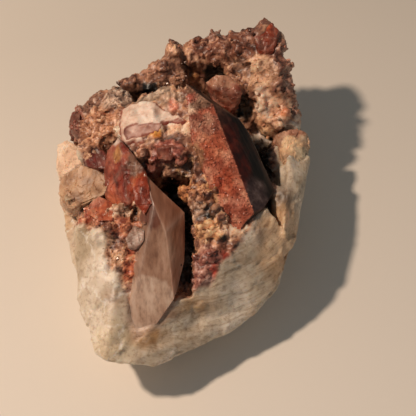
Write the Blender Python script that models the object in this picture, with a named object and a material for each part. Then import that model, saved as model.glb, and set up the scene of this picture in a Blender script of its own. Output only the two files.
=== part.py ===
"""A hand specimen of ferruginous quartz: a broken lump of massive quartz that carries
iron-stained quartz points and a crust of small crystals.

Everything grew as one piece, so the model is one closed solid. It is made from convex
blocks of massive quartz, plane-cut crystals and a seeded scatter of small crystals, all
joined by one Boolean union. Sizes are in millimetres and are turned to metres once.
The origin is the centre of the flat broken face that the specimen rests on, +Z is up,
and the specimen's length runs along Y.
"""

import math
import random

import bmesh
import bpy
from mathutils import Matrix, Vector, noise
from mathutils.bvhtree import BVHTree

MM = 0.001
NODE_NAME = "quartz_cluster"

# Driving dimensions, in mm.
HALF_WIDTH = 37.0
FRONT = -48.5
LIP_HEIGHT = 20.0

# Quartz: the angle between the c axis and the normal of a rhombohedral (tip) face.
TIP_FACE_ANGLE = math.radians(51.8)

# How far a broken surface wanders from its flat hull, and how finely the hull is cut.
ROUGH_AMPLITUDE = 1.1
ROUGH_SCALE = 7.0
BLOCK_LONGEST_EDGE = 8.5
FOOT_LONGEST_EDGE = 10.5

# Seeds for the broken surfaces and for the scatter of small crystals.
NOISE_SEED = 4
CRUST_SEED = 7

# Two triangles that meet at less than this are one flat face.
FLAT_ANGLE = math.radians(0.3)

# Corners closer than this after the union, in metres, are one corner.
WELD = 2e-6


def clear_scene():
    for old in list(bpy.data.objects):
        bpy.data.objects.remove(old)


def object_from(bm, name):
    """Wraps a bmesh that is in mm as an object in metres."""
    bmesh.ops.scale(bm, vec=(MM, MM, MM), verts=bm.verts)
    mesh = bpy.data.meshes.new(name)
    bm.to_mesh(mesh)
    bm.free()
    made = bpy.data.objects.new(name, mesh)
    bpy.context.scene.collection.objects.link(made)
    return made


# --- Massive quartz ---------------------------------------------------------------------

# The lower half of the specimen. It draws in to the flat face that it rests on.
FOOT = [
    (-28, -22, 16), (-23, -45, 19), (-20, -48, 20), (-14, FRONT, 18.5), (-8, -47.5, 15),
    (-18, -43, 10), (-12, -42, 10),
    (-1, -42, 12), (5, -39, 12), (13, -36, 12), (20, -31, 14), (26, -24, 15),
    (30, -10, 15), (34, 8, 15), (HALF_WIDTH - 1, 20, 15), (33, 34, 14), (28, 46, 15),
    (14, 49, 15), (2, 46, 14), (-16, 36, 14), (-28, 29, 14), (-35, 20, 13),
    (-36, 10, 13), (-34, -4, 14),
    (-20, -30, 0), (-4, -34, 0), (16, -22, 0), (24, 0, 0), (24, 24, 0), (14, 38, 0),
    (-8, 34, 0), (-22, 20, 0), (-26, -6, 0),
]

# Blocks that stand on the foot, each by its corners.
BLOCKS = {
    "front_left": [
        (-31, -8, 19), (-29, -18, 19), (-28, -30, 18), (-25, -37, 18), (-23, -45, 19),
        (-20, -48, 20), (-13, -47, 18), (-12, -40, 20), (-11, -34, 21.5), (-19, -32, 25),
        (-11, -24, 26.5),
        (-24, -18, 26), (-30, -12, 23), (-15, -24, 27), (-14, -12, 32), (-19, -13, 31),
        (-23, -13, 29), (-13, 0, 26), (-28, 2, 22), (-10, -12, 20), (-10, -36, 12),
        (-26, 0, 10), (-12, 4, 10),
    ],
    "front_sill": [
        (-15, -47, 18), (-9, -47, 15), (-1, -41, 13), (6, -38, 13), (-13, -40, 20),
        (-8, -38, 21), (-2, -33, 24), (2, -31, 23), (5, -30, 21), (-4, -26, 18),
        (4, -24, 14), (-10, -24, 14), (0, -26, 8),
    ],
    "front_right": [
        (2, -30, 24), (6, -26, 27), (9, -23, 28), (13, -21, 29), (16, -16, 31),
        (22, -8, 29), (26, -10, 27), (28, -20, 21), (25, -26, 18), (19, -31, 14),
        (12, -36, 12), (5, -38, 13), (2, -25, 26), (5, -17, 30), (6, -8, 32),
        (14, 2, 30), (7, -20, 10), (24, -14, 10), (16, 4, 14), (7, -6, 16),
    ],
    "keel": [
        (1, -5, 34), (2, -13, 31), (3, -19, 28), (9, -14, 31), (8, 0, 35), (3, 8, 37),
        (8, 10, 36), (3, 9, 26), (4, -2, 20), (5, -18, 16), (12, -12, 14), (12, 8, 16),
    ],
    "right_wall": [
        (30, -15, 22), (31, -8, 24), (32, 1, 25), (35, 9, 23), (HALF_WIDTH - 1, 19, 20),
        (27, -12, 27), (28, -3, 27), (30, 5, 26), (29, 12, 25), (27, -18, 20),
        (33, 23, 21), (26, -2, 20), (27, 10, 20), (25, -14, 10), (34, 8, 10),
        (30, 24, 10), (26, 8, 10),
    ],
    "middle": [
        (-19, 14, 36), (-17, 20, 36), (-12, 24, 38), (-5, 25, 40), (1, 24, 42),
        (4, 17, 41), (2, 10, 39), (-3, 8, 38), (-9, 7, 36), (-14, 6, 35), (-11, 3, 30),
        (-3, 2, 31), (4, 4, 33), (-12, 29, 30), (4, 28, 30), (-14, 30, 12), (6, 28, 12),
        (8, 6, 12), (-14, 4, 12),
    ],
    "left_dome": [
        (-28, 28, 30), (-24, 30, 32), (-20, 31, 32), (-15, 27, 34), (-14, 18, 35),
        (-20, 14, 34), (-26, 13, 31), (-31, 17, 27), (-33, 24, 25), (-33, 19, 24),
        (-24, 33, 26), (-32, 20, 10), (-27, 30, 10), (-14, 33, 10), (-14, 8, 10),
        (-28, 8, 10),
    ],
    "back_ridge_left": [
        (-20, 34, 26), (-15, 38, 27), (-10, 42, 28), (-5, 45, 30), (-2, 42, 29),
        (-12, 33, 27), (-4, 35, 27), (1, 38, 26), (0, 47, 25), (-17, 37, 14),
        (2, 47, 14), (2, 38, 14), (-16, 32, 14),
    ],
    "back_ridge": [
        (-4, 46, 29), (4, 49, 31), (11, 50, 33), (19, 50, 34.5), (26, 49, 34),
        (28, 42, 33), (20, 42, 34), (11, 44, 31), (1, 43, 28), (10, 41, 22),
        (28, 46, 16), (-4, 46, 15), (4, 39, 14), (26, 38, 14),
    ],
    "valley_bank": [
        (11, 42, 30), (20, 43, 33), (20, 34, 28), (14, 36, 26), (12, 38, 22),
        (18, 30, 20), (12, 40, 14), (20, 42, 14), (20, 28, 12), (14, 34, 12),
    ],
    "right_ridge": [
        (20, 42, 35), (27, 43, 35), (29, 37, 32), (32, 34, 28), (33, 29, 24),
        (25, 36, 35), (20, 31, 31), (22, 26, 29), (29, 24, 26), (33, 22, 22),
        (23, 22, 22), (19, 31, 24), (22, 40, 14), (32, 36, 14), (33, 22, 12),
        (22, 26, 14),
    ],
}


def hull(corners):
    """The convex solid between the corners, as flat triangles in an order that never varies."""
    rough = bmesh.new()
    for corner in corners:
        rough.verts.new(corner)
    bmesh.ops.convex_hull(rough, input=rough.verts)
    inside = [v for v in rough.verts if not v.link_faces]
    bmesh.ops.delete(rough, geom=inside, context="VERTS")
    bmesh.ops.recalc_face_normals(rough, faces=rough.faces)
    bmesh.ops.dissolve_limit(
        rough, angle_limit=FLAT_ANGLE, verts=rough.verts, edges=rough.edges
    )
    outlines = []
    for face in rough.faces:
        outline = [tuple(round(place, 3) for place in v.co) for v in face.verts]
        first = outline.index(min(outline))
        outlines.append(outline[first:] + outline[:first])
    rough.free()
    bm = bmesh.new()
    spots = sorted({spot for outline in outlines for spot in outline})
    verts = {spot: bm.verts.new(spot) for spot in spots}
    for outline in sorted(outlines):
        bm.faces.new([verts[spot] for spot in outline])
    bmesh.ops.triangulate(bm, faces=bm.faces)
    return bm


def halve_long_edges(bm, longest):
    """Splits edges at their middle, the longest first, until none is over the limit."""
    while True:
        edge = max(bm.edges, key=lambda e: e.calc_length())
        if edge.calc_length() < longest:
            return
        ends = list(edge.verts)
        beside = list(edge.link_faces)
        middle = bmesh.utils.edge_split(edge, ends[0], 0.5)[1]
        for face in beside:
            across = [v for v in face.verts if v not in ends and v is not middle]
            bmesh.utils.face_split(face, middle, across[0])


def rough_hull(corners, name, longest_edge):
    """A lump of broken quartz: a hull with its flats cut up and pushed about."""
    bm = hull(corners)
    halve_long_edges(bm, longest_edge)
    for vert in bm.verts:
        if vert.co.z > 0.01:
            push = noise.noise_vector(vert.co / ROUGH_SCALE) * ROUGH_AMPLITUDE
            vert.co += push * min(1.0, vert.co.z / 5.0)
    return object_from(bm, name)


# --- Crystals ---------------------------------------------------------------------------


def axis_matrix(foot, tip, roll_degrees):
    """Turns +Z to run from foot to tip. With no roll, the crystal's +X side faces up."""
    along = (Vector(tip) - Vector(foot)).normalized()
    side = Vector((0, 0, 1)) - along * along.z
    if side.length < 1e-3:
        side = Vector((0, 1, 0))
    side.normalize()
    across = along.cross(side)
    turn = Matrix((side, across, along)).transposed()
    roll = Matrix.Rotation(math.radians(roll_degrees), 3, "Z")
    return Matrix.Translation(foot) @ (turn @ roll).to_4x4()


def cut_away(bm, point, normal):
    """Cuts a convex solid by a plane, drops the side that the normal points to, and caps it."""
    cut = bmesh.ops.bisect_plane(
        bm,
        geom=bm.verts[:] + bm.edges[:] + bm.faces[:],
        dist=1e-4,
        plane_co=point,
        plane_no=normal,
        clear_outer=True,
    )
    rim = [e for e in cut["geom_cut"] if isinstance(e, bmesh.types.BMEdge)]
    if len(rim) > 2:
        bmesh.ops.contextual_create(bm, geom=rim)


def crystal_shape(length, radius, sides=(1,) * 6, tips=(1, 1.25) * 3, flat=1.0):
    """A quartz point along +Z with its foot at z=0 and its tip near z=length.

    sides and tips say how far each face stands from the axis, as a share of the regular
    place: a face that stands closer is a larger face.
    """
    bm = bmesh.new()
    bmesh.ops.create_cube(bm, size=2.0)
    bmesh.ops.scale(bm, vec=(3 * radius, 3 * radius, length), verts=bm.verts)
    cut_away(bm, Vector((0, 0, 0)), Vector((0, 0, -1)))
    apothem = radius * math.cos(math.pi / 6)
    for k in range(6):
        turn = math.radians(60 * k)
        out = Vector((math.cos(turn), math.sin(turn), 0))
        cut_away(bm, out * apothem * sides[k], out)
        tilt = out * math.sin(TIP_FACE_ANGLE)
        tilt.z = math.cos(TIP_FACE_ANGLE)
        tip_reach = length * tilt.z + (tips[k] - 1) * radius
        cut_away(bm, tilt * tip_reach, tilt)
    bmesh.ops.scale(bm, vec=(1, flat, 1), verts=bm.verts)
    bmesh.ops.remove_doubles(bm, verts=bm.verts, dist=0.02)
    return bm


def crystal(name, foot, tip, radius, roll=0, **shape):
    length = (Vector(tip) - Vector(foot)).length
    bm = crystal_shape(length, radius, **shape)
    bmesh.ops.transform(bm, matrix=axis_matrix(foot, tip, roll), verts=bm.verts)
    bmesh.ops.recalc_face_normals(bm, faces=bm.faces)
    return object_from(bm, name)


# The two large points and their red neighbour, by the corners of their flat faces.
LARGE_CRYSTALS = {
    "clear_point": [
        (-12, -40, 20.5), (-7, -38, 22), (-2.5, -32.5, 25), (-7.4, -9.4, 35),
        (-9.8, -13.7, 32.8), (-12.1, -23.9, 27.8), (-13.9, -35, 22.5),
        (-1.8, -29.9, 25), (0, -21.4, 25.7), (0.2, -14.6, 27.3), (0.1, -8.7, 28.9),
        (-10.7, 0.3, 37.5), (-2.5, -9, 19), (-3.5, -28, 15), (-12, -34, 12),
        (-14, -20, 16), (-13, -2, 26), (-7, -3, 25),
    ],
    "red_point": [
        (0.7, 22.5, 45), (3.1, 23.4, 41.9), (15, 17.3, 36), (18, 14.2, 33),
        (21.6, 6.2, 29.5), (25, 0, 26), (21.6, -7.3, 29.2), (19, -10.2, 31.5),
        (7.8, 17.6, 42.5), (1.8, 15.2, 42), (2.7, 7.9, 39.5), (5.9, 0.3, 36.5),
        (10.4, -11, 32), (14.7, -15, 30), (18, -8, 20), (23, 0, 19), (14, 16, 22),
        (4, 22, 28), (3, 8, 28), (12, -10, 20),
    ],
    "left_red_point": [
        (-17.8, 10.2, 37.5), (-10.7, 0.6, 37), (-21, 8.3, 34), (-21.7, 3.1, 31.5),
        (-21.4, -3, 29.5), (-19, -7, 29), (-14.7, -8, 32.5), (-16, 1, 37),
        (-10, -6, 32), (-10, 2, 24), (-16, 10, 24), (-20, 2, 20), (-12, -8, 20),
    ],
}

# Smaller points: foot, tip, radius, roll and what sets each one apart.
POINTS = {
    "back_point": dict(foot=(23, 40, 26), tip=(23, 50.5, 39), radius=5.4, roll=8,
                       tips=(1.0, 1.1) * 3),
    "back_nodule": dict(foot=(-3, 42, 28), tip=(-4, 46, 34), radius=2.4, roll=0),
    "valley_point": dict(foot=(18, 28, 14), tip=(12, 35, 30), radius=4.8, roll=20),
    "red_shard": dict(foot=(-20, 4, 22), tip=(-29, 16, 31), radius=4.4, roll=5),
    "edge_shard": dict(foot=(-24, 14, 18), tip=(-32, 25, 28), radius=4.2, roll=25),
    "left_stub": dict(foot=(-20, 7, 20), tip=(-32, -2, 29), radius=6.4, roll=12,
                      tips=(0.7, 1.3, 1.2, 1.4, 1.2, 1.0)),
    "outer_stub": dict(foot=(-24, 12, 10), tip=(-37.5, 18, 21), radius=6.8, roll=30,
                       tips=(0.8, 1.2) * 3),
    "right_stub": dict(foot=(24, 14, 16), tip=(37, 22, 22), radius=5.2, roll=12,
                       tips=(0.8, 1.2) * 3),
    "middle_red": dict(foot=(-2, 14, 28), tip=(-1, 3, 38), radius=4.2, roll=0),
    "middle_red_2": dict(foot=(-8, 12, 27), tip=(-8, 3, 36), radius=3.6, roll=25),
}


def flat_faced(corners, name):
    """A crystal whose flat faces run between the given corners."""
    return object_from(hull(corners), name)


def join_all(base, others):
    """Unions the others into base with one exact Boolean, and removes them."""
    group = bpy.data.collections.new("to_join")
    bpy.context.scene.collection.children.link(group)
    for other in others:
        group.objects.link(other)
    union = base.modifiers.new("join", "BOOLEAN")
    union.operation = "UNION"
    union.operand_type = "COLLECTION"
    union.collection = group
    union.solver = "EXACT"
    union.use_self = True
    graph = bpy.context.evaluated_depsgraph_get()
    joined = bpy.data.meshes.new_from_object(base.evaluated_get(graph))
    base.modifiers.clear()
    base.data = joined
    for other in others:
        bpy.data.objects.remove(other)
    bpy.data.collections.remove(group)


def keep_outer_shell(body):
    """Tidies the union: welds slivers and drops pockets sealed inside the crystals."""
    bm = bmesh.new()
    bm.from_mesh(body.data)
    bmesh.ops.triangulate(bm, faces=bm.faces)
    bmesh.ops.dissolve_degenerate(bm, dist=WELD, edges=bm.edges)
    bmesh.ops.remove_doubles(bm, verts=bm.verts, dist=WELD)
    bmesh.ops.triangulate(bm, faces=bm.faces)
    stray = [e for e in bm.edges if not e.link_faces]
    bmesh.ops.delete(bm, geom=stray, context="EDGES")
    shells = []
    unseen = set(bm.verts)
    while unseen:
        stack = [unseen.pop()]
        shell = set(stack)
        while stack:
            for edge in stack.pop().link_edges:
                for vert in edge.verts:
                    if vert not in shell:
                        shell.add(vert)
                        unseen.discard(vert)
                        stack.append(vert)
        shells.append(shell)
    outer = max(shells, key=len)
    inner = [v for shell in shells if shell is not outer for v in shell]
    bmesh.ops.delete(bm, geom=inner, context="VERTS")
    bm.to_mesh(body.data)
    bm.free()


# --- Small crystals ---------------------------------------------------------------------

# Where the crust of small crystals grows: centre, reach along X and Y, number and radius.
CRUST = {
    "back_crust": dict(at=(12, 47), reach=(17, 4), count=22, radius=2.3, lean=(0, 0.1, 1)),
    "back_slope_crust": dict(at=(10, 42), reach=(10, 3), count=12, radius=2.0, lean=(0, -0.4, 1)),
    "back_left_crust": dict(at=(-9, 38), reach=(10, 5), count=16, radius=2.1, lean=(-0.1, -0.1, 1)),
    "right_crust": dict(at=(27, 32), reach=(7, 11), count=30, radius=2.2, lean=(0.1, 0.1, 1)),
    "dome_crust": dict(at=(-23, 24), reach=(8, 8), count=20, radius=1.9, lean=(-0.3, 0.2, 1)),
    "front_crust": dict(at=(6, -8), reach=(5, 16), count=22, radius=1.8, lean=(-0.4, 0, 1)),
    "left_crust": dict(at=(-22, -10), reach=(9, 6), count=20, radius=2.0, lean=(-0.1, -0.3, 1)),
}


def grow_crust(body, zone, at, reach, count, radius, lean, chance):
    """Small crystals whose feet are in the body's upper surface."""
    graph = bpy.context.evaluated_depsgraph_get()
    ground = BVHTree.FromObject(body, graph)
    grown = []
    for number in range(count):
        turn = chance.uniform(0, 2 * math.pi)
        out = math.sqrt(chance.random())
        x = at[0] + reach[0] * out * math.cos(turn)
        y = at[1] + reach[1] * out * math.sin(turn)
        size = radius * chance.uniform(0.55, 1.45)
        wander = Vector([chance.uniform(-0.6, 0.6) for _ in range(3)])
        hit, normal, _, _ = ground.ray_cast(Vector((x, y, 60)) * MM, Vector((0, 0, -1)))
        if hit is None:
            continue
        spot = hit / MM
        if spot.z < LIP_HEIGHT - 2:
            continue
        way = (normal + Vector(lean).normalized() + wander).normalized()
        foot = spot - way * size * 1.3
        tip = spot + way * size * 1.15
        grown.append(crystal(f"{zone}_{number}", foot, tip, size, roll=60 * out))
    return grown


def main():
    clear_scene()
    noise.seed_set(NOISE_SEED)
    body = rough_hull(FOOT, NODE_NAME, FOOT_LONGEST_EDGE)
    blocks = [rough_hull(BLOCKS[name], name, BLOCK_LONGEST_EDGE) for name in BLOCKS]
    join_all(body, blocks)
    chance = random.Random(CRUST_SEED)
    crystals = [flat_faced(LARGE_CRYSTALS[name], name) for name in LARGE_CRYSTALS]
    crystals += [crystal(name, **point) for name, point in POINTS.items()]
    for zone, facts in CRUST.items():
        crystals += grow_crust(body, zone, chance=chance, **facts)
    join_all(body, crystals)
    keep_outer_shell(body)
    quartz = bpy.data.materials.new("iron_stained_quartz")
    quartz.use_nodes = True
    shader = quartz.node_tree.nodes["Principled BSDF"]
    shader.inputs["Base Color"].default_value = (0.36, 0.17, 0.11, 1)
    shader.inputs["Roughness"].default_value = 0.4
    body.data.materials.clear()
    body.data.materials.append(quartz)


main()
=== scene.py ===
"""The looks of a ferruginous quartz specimen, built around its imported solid.

The rock is a broken lump of massive quartz. Two large quartz points and several smaller
red ones stand out of it, and crusts of small crystals cover its top. Places and sizes are
in millimetres in the solid's own frame, and each mesh is turned to metres once.
"""

import itertools
import math

import bmesh
import bpy
import numpy as np
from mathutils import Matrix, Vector
from mathutils.bvhtree import BVHTree


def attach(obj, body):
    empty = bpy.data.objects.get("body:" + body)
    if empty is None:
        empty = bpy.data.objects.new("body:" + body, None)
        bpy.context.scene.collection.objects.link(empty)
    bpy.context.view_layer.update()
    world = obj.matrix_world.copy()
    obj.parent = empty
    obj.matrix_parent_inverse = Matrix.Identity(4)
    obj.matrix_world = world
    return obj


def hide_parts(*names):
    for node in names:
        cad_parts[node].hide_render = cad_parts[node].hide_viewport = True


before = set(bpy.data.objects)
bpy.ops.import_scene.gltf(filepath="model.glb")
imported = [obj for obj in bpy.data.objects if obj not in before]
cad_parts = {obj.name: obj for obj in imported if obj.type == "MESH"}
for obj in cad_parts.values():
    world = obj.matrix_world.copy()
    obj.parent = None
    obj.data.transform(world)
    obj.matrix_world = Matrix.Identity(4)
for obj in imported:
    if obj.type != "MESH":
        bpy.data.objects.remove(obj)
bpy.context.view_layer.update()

# --- Table, lamp and camera ------------------------------------------------------------
# A painted board lies under the rock. One small warm lamp stands close on its left and
# throws a soft shadow, and the pale room fills that shadow.

MM = 0.001
TABLE_SIZE = 1400.0
LAMP_PLACE = (-285.0, 7.5, 450.0)
LAMP_WIDTH = 39.0
LAMP_POWER = 2.15
LAMP_COLOUR = "#ffe4cc"
ROOM_COLOUR = "#eef2f2"
ROOM_STRENGTH = 0.165
LAMP_AIM = (0.0, 0.0, 20.0)
# The board's pool of lamp light is painted: it turns lighter towards the front and the right.
PAINTED_LIGHT_IN_FRONT = -5.0  # how fast the board turns lighter, to each metre of Y and of X
PAINTED_LIGHT_ON_RIGHT = 1.2
PAINTED_LIGHT_AT_CENTRE = 0.42
VIEW_TARGET = (6.7, -2.0, 20.0)
VIEW_DISTANCE = 323.6
VIEW_ELEVATION = math.radians(60.0)
VIEW_LENS = 100.0


def colour(hex_code):
    """An sRGB hex colour as linear red, green, blue and alpha."""
    parts = [int(hex_code[i : i + 2], 16) / 255 for i in (1, 3, 5)]
    linear = [c / 12.92 if c <= 0.04045 else ((c + 0.055) / 1.055) ** 2.4 for c in parts]
    return (*linear, 1.0)


def add_node(tree, kind, settings=None, inputs=None, stops=()):
    """Adds a node, sets its properties, sets or links its inputs, and fills its ramp."""
    made = tree.nodes.new(kind)
    for name, value in (settings or {}).items():
        setattr(made, name, value)
    for name, value in (inputs or {}).items():
        if isinstance(value, bpy.types.Node):
            value = next(output for output in value.outputs if output.enabled)
        if isinstance(value, bpy.types.NodeSocket):
            tree.links.new(value, made.inputs[name])
        else:
            made.inputs[name].default_value = value
    if stops:
        elements = made.color_ramp.elements
        while len(elements) < len(stops):
            elements.new(0.5)
        for element, (position, hex_code) in zip(elements, stops):
            element.position = position
            element.color = colour(hex_code)
    return made


def new_material(name, values):
    """A material with plain values on its Principled shader: it, its nodes and shader."""
    material = bpy.data.materials.new(name)
    material.use_nodes = True
    tree = material.node_tree
    shader = tree.nodes["Principled BSDF"]
    for socket, value in values.items():
        shader.inputs[socket].default_value = value
    return material, tree, shader


def new_object(name, points, faces, material):
    """Puts a mesh given in millimetres into the scene, in metres."""
    mesh = bpy.data.meshes.new(name)
    mesh.from_pydata(np.asarray(points, dtype=float) * MM, [], faces)
    mesh.materials.append(material)
    made = bpy.data.objects.new(name, mesh)
    bpy.context.scene.collection.objects.link(made)
    return made


# Matt paint, with a pool of lamp light painted on: lighter towards the front and the right of the
# board.
painted_board, tree, shader = new_material(
    "painted_board", {"Roughness": 0.8, "Specular IOR Level": 0.2}
)
place = add_node(tree, "ShaderNodeTexCoord").outputs["Object"]
axes = add_node(tree, "ShaderNodeSeparateXYZ", inputs={0: place})
forward = add_node(
    tree, "ShaderNodeMath", {"operation": "MULTIPLY_ADD"},
    {0: axes.outputs["Y"], 1: PAINTED_LIGHT_IN_FRONT, 2: PAINTED_LIGHT_AT_CENTRE},
)
lighter = add_node(
    tree, "ShaderNodeMath", {"operation": "MULTIPLY_ADD"},
    {0: axes.outputs["X"], 1: PAINTED_LIGHT_ON_RIGHT, 2: forward},
)
tint = add_node(
    tree, "ShaderNodeValToRGB", inputs={"Fac": lighter}, stops=[(0.0, "#dad3c8"), (1.0, "#fdf6ec")]
)
tree.links.new(tint.outputs["Color"], shader.inputs["Base Color"])

edge = TABLE_SIZE / 2
corners = [(-edge, -edge, 0), (edge, -edge, 0), (edge, edge, 0), (-edge, edge, 0)]
table_top = new_object("table_top", corners, [(0, 1, 2, 3)], painted_board)

lamp_data = bpy.data.lights.new("lamp", "AREA")
lamp_data.shape = "DISK"
lamp_data.size = LAMP_WIDTH * MM
lamp_data.energy = LAMP_POWER
lamp_data.color = colour(LAMP_COLOUR)[:3]
lamp = bpy.data.objects.new("lamp", lamp_data)
bpy.context.scene.collection.objects.link(lamp)
lamp.location = Vector(LAMP_PLACE) * MM
lamp.rotation_mode = "QUATERNION"
lamp.rotation_quaternion = (Vector(LAMP_AIM) - Vector(LAMP_PLACE)).to_track_quat("-Z", "Y")

room = bpy.data.worlds.new("room")
room.use_nodes = True
room.node_tree.nodes["Background"].inputs["Color"].default_value = colour(ROOM_COLOUR)
room.node_tree.nodes["Background"].inputs["Strength"].default_value = ROOM_STRENGTH
bpy.context.scene.world = room

camera_data = bpy.data.cameras.new("camera")
camera_data.lens = VIEW_LENS
camera_data.sensor_width = 36.0
camera_data.clip_start = 0.01
camera_data.clip_end = 10.0
camera = bpy.data.objects.new("camera", camera_data)
bpy.context.scene.collection.objects.link(camera)
towards_camera = Vector((0, -math.cos(VIEW_ELEVATION), math.sin(VIEW_ELEVATION)))
camera.location = (Vector(VIEW_TARGET) + towards_camera * VIEW_DISTANCE) * MM
camera.rotation_mode = "QUATERNION"
camera.rotation_quaternion = (-towards_camera).to_track_quat("-Z", "Y")
bpy.context.scene.camera = camera
bpy.context.scene.view_settings.view_transform = "Standard"

# --- Massive quartz ----------------------------------------------------------------------
# The body is vein quartz, pale and greasy, broken off the vein with a hammer: its front
# and right walls are fresh fibrous breaks, and iron has stained all that lay in the open
# pocket on top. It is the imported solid, with the break's ledges, lumps and splinters added.

GRID = 0.56  # the spacing of the rock's mesh
FIBRE_CENTRE = (-4.0, 10.0)  # the fibres run round this point, as seen from above
FIBRE_LENGTH = 9.0  # how many times longer than wide a fibre is
FIBRE_SWEEP = 34.0  # the run of a fibre to each radian that it turns
FACET_SIZE = 6.5  # across the large facets of the break
LUMP_SIZE = 2.8  # and across the lumps on them
SMALL_LUMP_SIZE = 1.4
SPLINTER_SIZE = 1.1
UNDER_RED_POINT = 1.6  # how far the rock is lowered under the red point, and under stubs
UNDER_STUBS = 2.6
SOCKET_END = -33.0  # the Y where the clear point's socket in the rock ends
WELD_START = -28.0  # the Y where the rock begins to close up round the clear point
WELD_FULL = -38.0  # and where it stands highest against it
LINING_START = -29.0  # the Y from which the rock beside it has its pink tint
SHADE_REACH = 9.0  # rock within this distance shuts the light out of a hollow
SHADE_RAYS = 7
STAIN_FLOOR = 13.0  # the stain reaches down to about this height
STAIN_LIFT = 0.75  # the stained tints are shown lighter than written, by this share
BRIGHTEST = 0.88  # the highest red, green or blue of a stained tint
QUARTZ_IOR = 1.544

# The crystals that the rock makes way for. Each is the hull of its corners.
CLEAR_POINT_CORNERS = [
    (-12, -40, 20.5), (-7, -38, 22), (-2.5, -32.5, 25), (-7.6, -9.8, 34.9),
    (-8.6, -14.2, 32.7), (-10.9, -24, 28), (-13.9, -35, 22.5), (-4.6, -16.4, 32.2),
    (-3.3, -24.9, 28.5), (-1.8, -29.9, 24.5), (0, -21.4, 25.2), (0.2, -14.6, 27),
    (0.1, -8.7, 28.9), (-10.4, -1.2, 36.4), (-2.5, -9, 19), (-3.5, -28, 15), (-11, -34, 12),
    (-10, -20, 16), (-9.5, -2, 26), (-7, -3, 25),
]
LEFT_RED_CORNERS = [
    (-17.8, 10.2, 37.5), (-10.7, 0.6, 37), (-21, 8.3, 34), (-21.7, 3.1, 31.5),
    (-21.4, -3, 29.5), (-19, -7, 29), (-14.7, -8, 32.5), (-16, 1, 37), (-9.8, -5.5, 32),
    (-9.9, -1.2, 36), (-10, 2, 24), (-16, 10, 24), (-20, 2, 20), (-12, -8, 20),
]
RED_POINT_CORNERS = [
    (0.7, 22.5, 45), (3.1, 23.4, 41.9), (15, 17.3, 36), (18, 14.2, 33), (21.6, 6.2, 29.5),
    (25, 0, 26), (21.6, -7.3, 29.2), (19, -10.2, 31.5), (7.8, 17.6, 42.5), (1.8, 15.2, 42),
    (2.7, 7.9, 39.5), (5.9, 0.3, 36.5), (10.4, -11, 32), (14.7, -15, 30), (18, -8, 20),
    (23, 0, 19), (14, 16, 22), (4, 22, 28), (3, 8, 28), (12, -10, 20),
]
STUBS = {
    "left_stub": [
        (-35.3, 4.4, 24), (-33, 6.2, 26), (-28.4, 6.3, 29.5), (-23.7, 3.6, 31.5),
        (-20.9, 1.4, 31.5), (-20.5, -1.4, 31.3), (-21.6, -3.6, 30), (-24.7, -4.2, 28.3),
        (-29.4, -4.8, 25.5), (-32.4, -4, 23), (-35, 0.4, 22), (-32, -3.5, 17), (-35, 1, 15),
        (-24, -2, 18), (-22, 4, 18), (-31, 7, 16), (-32.4, -0.4, 26.7), (-31.2, -2.6, 26.6),
    ],
    "outer_stub": [
        (-37.0, 19, 20), (-34.5, 19.8, 22), (-31.2, 17.1, 24), (-29.9, 14.4, 25),
        (-28.5, 9.7, 25), (-32.7, 8.6, 22), (-35.8, 8.4, 18), (-37, 12.1, 18),
        (-36, 17, 12), (-35, 9, 10), (-28, 10, 10), (-30, 18, 12),
    ],
    "right_stub": [
        (26, 21.2, 22), (28.8, 21.9, 24), (32.3, 22.6, 24), (35.9, 21.9, 22), (36.1, 18.4, 21),
        (34.4, 14.3, 22), (35, 12.2, 20), (31.9, 10.3, 23), (28.5, 11, 24), (27, 16, 15),
        (34, 12, 12), (35, 20, 14), (28, 12, 15),
    ],
}

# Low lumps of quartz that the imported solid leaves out: middle, and reach each way.
LUMPS = [
    ((-2.6, 43.3, 32.4), (2.2, 2.0, 2.2)), ((5.3, 45.6, 31.8), (1.8, 1.6, 2.0)),
    ((9.4, 49.0, 32.2), (1.8, 1.6, 1.8)), ((2.3, 41.2, 22.5), (1.6, 1.4, 1.6)),
    ((28.7, 24.8, 28.0), (1.5, 1.5, 1.5)), ((22.2, 27.0, 28.4), (2.0, 3.0, 2.6)),
    ((29.3, 32.0, 29.8), (2.4, 3.6, 3.0)), ((28.0, 38.5, 32.0), (2.6, 2.6, 2.6)),
    ((-24.0, 16.8, 31.0), (3.6, 2.6, 2.0)), ((-18.6, 26.2, 33.2), (3.4, 2.4, 2.0)),
    ((-29.5, 21.5, 27.8), (2.2, 3.6, 2.4)), ((0.8, 3.0, 31.6), (3.4, 3.0, 2.8)),
    ((0.7, -3.0, 30.2), (3.0, 2.4, 3.0)), ((6.5, -15.4, 30.8), (3.8, 3.0, 2.0)),
    ((13.6, -15.2, 29.8), (3.2, 2.4, 1.8)), ((6.0, -8.0, 32.0), (2.8, 2.2, 1.8)),
    ((-22.6, -9.3, 28.8), (4.4, 2.6, 2.0)), ((-17.3, -8.7, 30.2), (3.0, 2.6, 2.6)),
    ((-21.0, -16.6, 28.4), (2.6, 2.2, 2.0)), ((-15.0, -13.6, 30.0), (3.4, 2.6, 2.0)),
    ((-18.0, -22.4, 27.4), (2.2, 2.0, 1.8)), ((-12.4, -7.0, 31.4), (2.2, 1.6, 1.8)),
    ((6.4, -21.8, 27.8), (3.4, 2.4, 2.2)), ((5.0, -27.3, 24.4), (2.8, 2.6, 2.4)),
    ((-18.0, -43.0, 18.0), (4.4, 3.6, 5.0)), ((26.0, -2.0, 21.0), (3.0, 8.0, 6.0)),
]

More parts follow.
